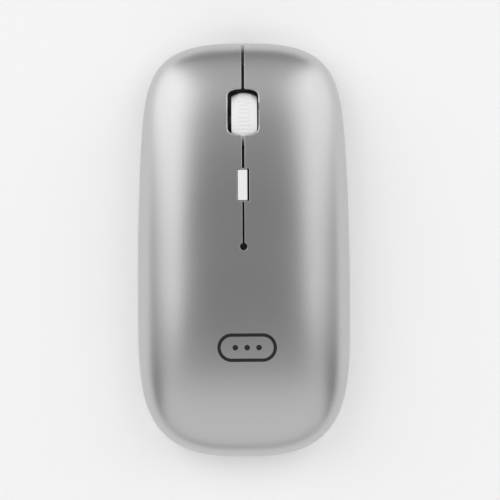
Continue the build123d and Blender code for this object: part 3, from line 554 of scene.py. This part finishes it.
def closed_object(name, verts, faces, smooth):
    """Object from mm vertices, with its face normals turned outwards."""
    mesh = mesh_from_mm(name, verts, faces)
    bm = bmesh.new()
    bm.from_mesh(mesh)
    bmesh.ops.recalc_face_normals(bm, faces=bm.faces)
    bm.to_mesh(mesh)
    bm.free()
    if smooth:
        shade_smooth(mesh)
    return link_object(name, mesh)


# ---------------------------------------------------------------- badge: pill outline, three dots
BADGE_X = 0.8
BADGE_Y = -26.4
PILL_HALF_RUN = 4.2                  # half length of the straight sides
PILL_RADIUS = 3.4
PILL_LINE = 0.9
BADGE_DOT_PITCH = 3.2
BADGE_DOT_RADII = (0.01, 0.25, 0.5, 0.75)    # nested loops of each dot
INK_ABOVE = 0.025
INK_BELOW = 0.05


def ink_band(rows):
    """A thin slab that follows the palm; rows are nested closed loops of plan points."""
    row_count, count = len(rows), len(rows[0])
    plan = np.array(rows)
    skin, normals = surface(plan[..., 0].ravel(), plan[..., 1].ravel())
    verts = np.vstack([skin + normals * INK_ABOVE, skin - normals * INK_BELOW])
    under = row_count * count
    last = (row_count - 1) * count
    faces = []
    for i in range(count):
        k = (i + 1) % count
        for j in range(row_count - 1):
            quad = (j * count + i, j * count + k, (j + 1) * count + k, (j + 1) * count + i)
            faces += [quad, tuple(under + v for v in reversed(quad))]
        faces += [(i, under + i, under + k, k),
                  (last + k, under + last + k, under + last + i, last + i)]
    return verts, faces


def pill(radius):
    angles = np.linspace(-math.pi / 2, math.pi / 2, 32)
    right = np.column_stack([PILL_HALF_RUN + radius * np.cos(angles), radius * np.sin(angles)])
    run = np.linspace(PILL_HALF_RUN, -PILL_HALF_RUN, 18)[1:-1]
    top = np.column_stack([run, np.full(len(run), radius)])
    return np.vstack([right, top, -right, -top]) + (BADGE_X, BADGE_Y)


def build_badge():
    bands = [[pill(PILL_RADIUS + PILL_LINE * (k / 4 - 0.5)) for k in range(5)]]
    angles = np.linspace(0, 2 * math.pi, 40, endpoint=False)
    for offset in (-BADGE_DOT_PITCH, 0.0, BADGE_DOT_PITCH):
        bands.append([np.column_stack([BADGE_X + offset + radius * np.cos(angles),
                                       BADGE_Y + radius * np.sin(angles)])
                      for radius in BADGE_DOT_RADII])
    verts, faces = [], []
    for rows in bands:
        band_verts, band_faces = ink_band(rows)
        start = len(verts)
        verts += list(band_verts)
        faces += [tuple(i + start for i in face) for face in band_faces]
    return closed_object("badge_print", verts, faces, smooth=False)


# ---------------------------------------------------------------- battery wires
WIRE_RADIUS = 0.45
WIRE_SIDES = 20
# Rounded wire end: distance from the end (mm), share of the radius
WIRE_END = [(0.0, 0.55), (0.01, 0.8), (0.035, 0.94), (0.09, 1.0)]
# Centre lines: x, y, z
WIRE_PATHS = {
    "battery_wire_red": [
        (11.55, -10.48, 9.35), (11.555, -10.259, 9.36), (11.576, -10.043, 9.399),
        (11.621, -9.845, 9.486), (11.698, -9.708, 9.638), (11.793, -9.656, 9.83),
        (11.888, -9.66, 10.029), (11.978, -9.678, 10.231), (12.047, -9.631, 10.428),
        (12.024, -9.422, 10.469), (11.968, -9.215, 10.417), (11.902, -9.026, 10.322),
        (11.83, -8.871, 10.184), (11.761, -8.797, 9.991), (11.72, -8.864, 9.787),
        (11.705, -8.997, 9.612), (11.702, -9.15, 9.452), (11.708, -9.308, 9.296),
        (11.72, -9.462, 9.138), (11.74, -9.599, 8.966), (11.772, -9.668, 8.762),
        (11.805, -9.544, 8.592), (11.823, -9.34, 8.51), (11.834, -9.124, 8.464),
        (11.841, -8.905, 8.436), (11.845, -8.684, 8.418), (11.848, -8.463, 8.407),
        (11.85, -8.241, 8.402), (11.85, -8.02, 8.4),
    ],
    "battery_wire_black": [
        (13.45, -10.48, 9.35), (13.455, -10.306, 9.356), (13.471, -10.133, 9.378),
        (13.507, -9.969, 9.424), (13.57, -9.83, 9.507), (13.66, -9.742, 9.626),
        (13.761, -9.705, 9.763), (13.861, -9.688, 9.905), (13.945, -9.623, 10.038),
        (13.941, -9.455, 10.064), (13.901, -9.288, 10.029), (13.849, -9.133, 9.968),
        (13.792, -8.992, 9.884), (13.73, -8.873, 9.773), (13.671, -8.803, 9.626),
        (13.632, -8.824, 9.46), (13.618, -8.909, 9.308), (13.617, -9.014, 9.169),
        (13.626, -9.123, 9.032), (13.642, -9.222, 8.89), (13.669, -9.281, 8.729),
        (13.702, -9.212, 8.58), (13.721, -9.059, 8.501), (13.733, -8.89, 8.458),
        (13.74, -8.718, 8.432), (13.745, -8.544, 8.416), (13.748, -8.369, 8.406),
        (13.75, -8.195, 8.401), (13.75, -8.02, 8.4),
    ],
}


def build_wire(name, path):
    """A closed round tube along a path, with a softly rounded end at each terminal."""
    centres = np.array(path)
    tangents = np.gradient(centres, axis=0)
    tangents /= np.linalg.norm(tangents, axis=1, keepdims=True)
    side = np.cross(tangents, np.array([1.0, 0.0, 0.0]))
    side /= np.linalg.norm(side, axis=1, keepdims=True)
    other = np.cross(tangents, side)

    last = len(centres) - 1
    # Stations: path index, shift along the path, share of the radius
    stations = [(0, inset, share) for inset, share in WIRE_END]
    stations += [(i, 0.0, 1.0) for i in range(1, last)]
    stations += [(last, -inset, share) for inset, share in reversed(WIRE_END)]
    angles = np.linspace(0, 2 * math.pi, WIRE_SIDES, endpoint=False)
    verts = []
    for i, shift, share in stations:
        centre = centres[i] + tangents[i] * shift
        radius = WIRE_RADIUS * share
        verts += [centre + radius * (math.cos(angle) * side[i] + math.sin(angle) * other[i])
                  for angle in angles]

    faces = []
    last_ring = (len(stations) - 1) * WIRE_SIDES
    for start in range(0, last_ring, WIRE_SIDES):
        after = start + WIRE_SIDES
        for j in range(WIRE_SIDES):
            k = (j + 1) % WIRE_SIDES
            faces.append((start + j, start + k, after + k, after + j))
    faces.append(tuple(reversed(range(WIRE_SIDES))))
    faces.append(tuple(last_ring + j for j in range(WIRE_SIDES)))
    return closed_object(name, verts, faces, smooth=True)


cover = build_cover()
badge = build_badge()
wires = {name: build_wire(name.replace("battery_wire", "wire_tube"), path)
         for name, path in WIRE_PATHS.items()}


# ---------------------------------------------------------------- materials
class Graph:
    """Short forms for building a node tree."""

    def __init__(self, tree):
        self.tree = tree

    def node(self, kind, **settings):
        node = self.tree.nodes.new(kind)
        for key, value in settings.items():
            setattr(node, key, value)
        return node

    def feed(self, value, socket):
        """Link a socket, or set a plain value."""
        if isinstance(value, bpy.types.NodeSocket):
            self.tree.links.new(value, socket)
        else:
            socket.default_value = value

    def math(self, operation, first, second):
        node = self.node("ShaderNodeMath", operation=operation)
        for value, socket in zip((first, second, 0.0), node.inputs):
            self.feed(value, socket)
        return node.outputs[0]

    def swing(self, value, span):
        """A 0..1 value turned into a swing of the given span about zero."""
        return self.math("MULTIPLY", self.math("SUBTRACT", value, 0.5), span)

    def scaled(self, vector, factor):
        node = self.node("ShaderNodeVectorMath", operation="SCALE")
        self.feed(vector, node.inputs[0])
        self.feed(factor, node.inputs["Scale"])
        return node.outputs[0]

    def noise(self, vector, scale, detail, roughness=0.55):
        node = self.node("ShaderNodeTexNoise")
        node.inputs["Scale"].default_value = scale
        node.inputs["Detail"].default_value = detail
        node.inputs["Roughness"].default_value = roughness
        self.feed(vector, node.inputs["Vector"])
        return node.outputs["Fac"]


def add_material(name, color, roughness, grain, bump=(2500, 0.05), cloud=0.03, rough_var=0.06,
                 metallic=0.0, coat=0.0, specular=0.5, transmission=0.0, subsurface=0.0,
                 stretch=None, edge=0.0):
    """A mottled Principled material; returns it with its graph and its shader node.

    grain and bump are (noise scale, strength). grain and cloud are the fine and broad swings
    of colour, rough_var that of roughness. stretch scales the texture space along each axis;
    edge brightens convex edges.
    """
    result = bpy.data.materials.new(name)
    result.use_nodes = True
    graph = Graph(result.node_tree)
    shader = next(n for n in result.node_tree.nodes if n.type == "BSDF_PRINCIPLED")
    position = graph.node("ShaderNodeTexCoord").outputs["Object"]
    if stretch:
        mapping = graph.node("ShaderNodeMapping")
        mapping.inputs["Scale"].default_value = stretch
        graph.feed(position, mapping.inputs["Vector"])
        position = mapping.outputs["Vector"]

    fine = graph.noise(position, scale=grain[0], detail=3.0)
    broad = graph.noise(position, scale=55.0, detail=4.0)
    fine_swing = graph.swing(fine, 2 * grain[1])
    shade = graph.math("ADD", fine_swing, graph.swing(broad, 2 * cloud))
    shade = graph.math("ADD", shade, 1.0)
    if edge:
        pointiness = graph.node("ShaderNodeNewGeometry").outputs["Pointiness"]
        shade = graph.math("ADD", shade, graph.swing(pointiness, edge))
    graph.feed(graph.scaled(color, shade), shader.inputs["Base Color"])
    varied = graph.math("ADD", roughness, graph.swing(broad, 2 * rough_var))
    graph.feed(graph.math("MAXIMUM", varied, 0.02), shader.inputs["Roughness"])

    shader.inputs["Metallic"].default_value = metallic
    shader.inputs["Coat Weight"].default_value = coat
    shader.inputs["Coat Roughness"].default_value = 0.08
    shader.inputs["Specular IOR Level"].default_value = specular
    shader.inputs["Transmission Weight"].default_value = transmission
    shader.inputs["Subsurface Weight"].default_value = subsurface
    if subsurface:
        shader.inputs["Subsurface Radius"].default_value = (0.0012, 0.0011, 0.001)

    relief = graph.node("ShaderNodeBump")
    relief.inputs["Strength"].default_value = bump[1]
    relief.inputs["Distance"].default_value = 0.00005
    graph.feed(graph.noise(position, scale=bump[0], detail=2.0), relief.inputs["Height"])
    graph.feed(relief.outputs[0], shader.inputs["Normal"])
    return result, graph, shader


def silver_paint():
    """Satin silver metallic paint, each fine flake a little lighter or darker."""
    paint, graph, shader = add_material(
        "silver_paint", color=(0.60, 0.60, 0.602), roughness=0.36, metallic=1.0,
        grain=(5200, 0.05), bump=(6500, 0.02), cloud=0.012, rough_var=0.02)
    coordinates = next(n for n in paint.node_tree.nodes if n.type == "TEX_COORD")
    flakes = graph.node("ShaderNodeTexVoronoi", feature="F1")
    flakes.inputs["Scale"].default_value = 9000.0
    graph.feed(coordinates.outputs["Object"], flakes.inputs["Vector"])
    channels = graph.node("ShaderNodeSeparateColor")
    graph.feed(flakes.outputs["Color"], channels.inputs[0])
    base = shader.inputs["Base Color"].links[0].from_socket
    brightness = graph.math("ADD", 0.97, graph.math("MULTIPLY", channels.outputs[0], 0.06))
    graph.feed(graph.scaled(base, brightness), shader.inputs["Base Color"])
    return paint


# Settings of add_material for each material slot
PLAIN_MATERIALS = {
    "white_plastic": dict(color=(0.84, 0.84, 0.835), roughness=0.36, grain=(1500, 0.012),
                          bump=(4200, 0.22), cloud=0.012, subsurface=0.04),
    "white_rubber": dict(color=(0.84, 0.84, 0.835), roughness=0.55, grain=(2400, 0.02),
                         bump=(5200, 0.3), cloud=0.02),
    "white_hub": dict(color=(0.82, 0.82, 0.81), roughness=0.3, grain=(1500, 0.01),
                      bump=(3500, 0.1)),
    "black_plastic": dict(color=(0.018, 0.018, 0.019), roughness=0.45, grain=(1800, 0.15),
                          bump=(3800, 0.3), cloud=0.1),
    "red_plunger": dict(color=(0.42, 0.02, 0.015), roughness=0.35, grain=(1500, 0.05)),
    "grey_plunger": dict(color=(0.2, 0.2, 0.215), roughness=0.4, grain=(1500, 0.06)),
    "glide": dict(color=(0.42, 0.42, 0.42), roughness=0.3, grain=(2600, 0.05),
                  bump=(5200, 0.15), stretch=(1, 0.35, 1)),
    "clear_optic": dict(color=(0.93, 0.95, 0.96), roughness=0.05, grain=(800, 0.01),
                        bump=(900, 0.01), transmission=0.9, cloud=0.01, rough_var=0.01),
    "circuit_board": dict(color=(0.012, 0.115, 0.045), roughness=0.3, grain=(700, 0.35),
                          bump=(1100, 0.35), cloud=0.12, coat=0.3),
    "steel": dict(color=(0.56, 0.56, 0.565), roughness=0.24, metallic=1.0, grain=(2200, 0.08),
                  bump=(3000, 0.12), stretch=(0.12, 1, 1), edge=0.4),
    "gold": dict(color=(0.78, 0.56, 0.22), roughness=0.25, metallic=1.0, grain=(2600, 0.06)),
    "ceramic": dict(color=(0.3, 0.2, 0.12), roughness=0.5, grain=(3200, 0.12)),
    "cell_foil": dict(color=(0.62, 0.62, 0.63), roughness=0.32, metallic=1.0,
                      grain=(600, 0.05), bump=(320, 0.5)),
    "tape": dict(color=(0.05, 0.05, 0.05), roughness=0.85, grain=(3000, 0.3), bump=(3000, 0.6)),
    "ivory": dict(color=(0.74, 0.7, 0.58), roughness=0.4, grain=(1600, 0.03)),
    "wire_red": dict(color=(0.45, 0.015, 0.01), roughness=0.35, grain=(1800, 0.05)),
    "wire_black": dict(color=(0.012, 0.012, 0.012), roughness=0.35, grain=(1800, 0.1)),
    "receiver_insert": dict(color=(0.02, 0.02, 0.022), roughness=0.4, grain=(1800, 0.1)),
}

materials = {"silver_paint": silver_paint()}
for name, settings in PLAIN_MATERIALS.items():
    materials[name] = add_material(name, **settings)[0]
ink = add_material("print_ink", color=(0.006, 0.006, 0.006), roughness=0.5,
                   grain=(2600, 0.2), bump=(5000, 0.25))[0]

slot_of = {part["node"]: part["material_slot"] for part in frame["record"]["subparts"]}
for name, obj in frame["nodes"].items():
    obj.data.materials.clear()
    obj.data.materials.append(materials[slot_of[name]])
for obj in cover.values():
    obj.data.materials.append(materials["silver_paint"])
badge.data.materials.append(ink)

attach(cover["palm"], "chassis")
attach(badge, "chassis")
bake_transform(cover["left"])
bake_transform(cover["right"])
for name, obj in wires.items():
    obj.data.materials.append(materials[slot_of[name]])
    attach(obj, "chassis")
    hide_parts(name)
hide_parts("top_cover")
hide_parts("left_button")
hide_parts("right_button")


# ---------------------------------------------------------------- floor: plain, pale, matt
def build_floor():
    bm = bmesh.new()
    bmesh.ops.create_grid(bm, x_segments=8, y_segments=8, size=4.0)
    mesh = bpy.data.meshes.new("floor")
    bm.to_mesh(mesh)
    bm.free()
    floor = link_object("floor", mesh)
    floor.location.z = -0.00005          # just clear of the mouse's underside
    floor.data.materials.append(add_material(
        "floor", color=(0.92, 0.92, 0.92), roughness=0.8, grain=(300, 0.004),
        bump=(400, 0.02), cloud=0.004, specular=0.1)[0])


build_floor()

# ---------------------------------------------------------------- light: plain soft studio
WORLD_LIGHT = 0.15                   # strength for lighting
BACKDROP = 0.92                      # strength as the camera sees it
# Name, tilt to +X and to +Y (degrees from overhead), distance (m),
# size (m) on the light's own X and Y, radiance, seen in reflections
LIGHTS = [
    ("left_softbox", -55, 40, 3.0, (3.0, 4.0), 1.3, True),
    ("right_softbox", 55, 40, 3.0, (3.0, 4.0), 1.1, True),
    ("front_softbox", 0, 50, 3.0, (4.8, 2.1), 0.3, True),
    ("tail_softbox", 0, -50, 3.0, (9.0, 3.6), 0.65, True),
    ("overhead_fill", 0, 0, 3.6, (4.5, 4.5), 0.7, False),
]


def build_world():
    world = bpy.data.worlds.new("studio")
    bpy.context.scene.world = world
    world.use_nodes = True
    background = next(n for n in world.node_tree.nodes if n.type == "BACKGROUND")
    background.inputs["Color"].default_value = (1, 1, 1, 1)
    graph = Graph(world.node_tree)
    seen = graph.node("ShaderNodeLightPath").outputs["Is Camera Ray"]
    extra = graph.math("MULTIPLY", seen, BACKDROP - WORLD_LIGHT)
    graph.feed(graph.math("ADD", WORLD_LIGHT, extra), background.inputs["Strength"])


def build_softbox(name, tilt_x, tilt_y, distance, size, radiance, reflected):
    """A rectangular soft light that faces the mouse."""
    direction = Vector((math.tan(math.radians(tilt_x)), math.tan(math.radians(tilt_y)), 1.0))
    direction.normalize()
    light = bpy.data.lights.new(name, "AREA")
    light.shape = "RECTANGLE"
    light.size, light.size_y = size
    light.energy = radiance * math.pi * size[0] * size[1]
    obj = bpy.data.objects.new(name, light)
    obj.location = direction * distance
    obj.rotation_euler = direction.to_track_quat("Z", "Y").to_euler()
    obj.visible_camera = False
    obj.visible_glossy = reflected
    bpy.context.scene.collection.objects.link(obj)


build_world()
for light_row in LIGHTS:
    build_softbox(*light_row)

# ---------------------------------------------------------------- camera: straight above, nose up
FRAME_WIDTH = 135.55 * MM            # width seen at CAMERA_DISTANCE
CAMERA_DISTANCE = 3.0
FOCUS_Z = 0.008                      # level at which the frame width holds
SENSOR_WIDTH = 36.0


def build_camera():
    camera = link_object("camera", bpy.data.cameras.new("camera"))
    bpy.context.scene.camera = camera
    camera.data.sensor_width = SENSOR_WIDTH
    camera.data.lens = SENSOR_WIDTH * CAMERA_DISTANCE / FRAME_WIDTH
    camera.location = (1.71 * MM, -0.05 * MM, CAMERA_DISTANCE + FOCUS_Z)
    camera.rotation_euler = (0, 0, math.radians(-0.33))
    camera.data.clip_end = 50.0


build_camera()
bpy.context.scene.view_settings.view_transform = "Standard"
bpy.context.scene.view_settings.look = "None"
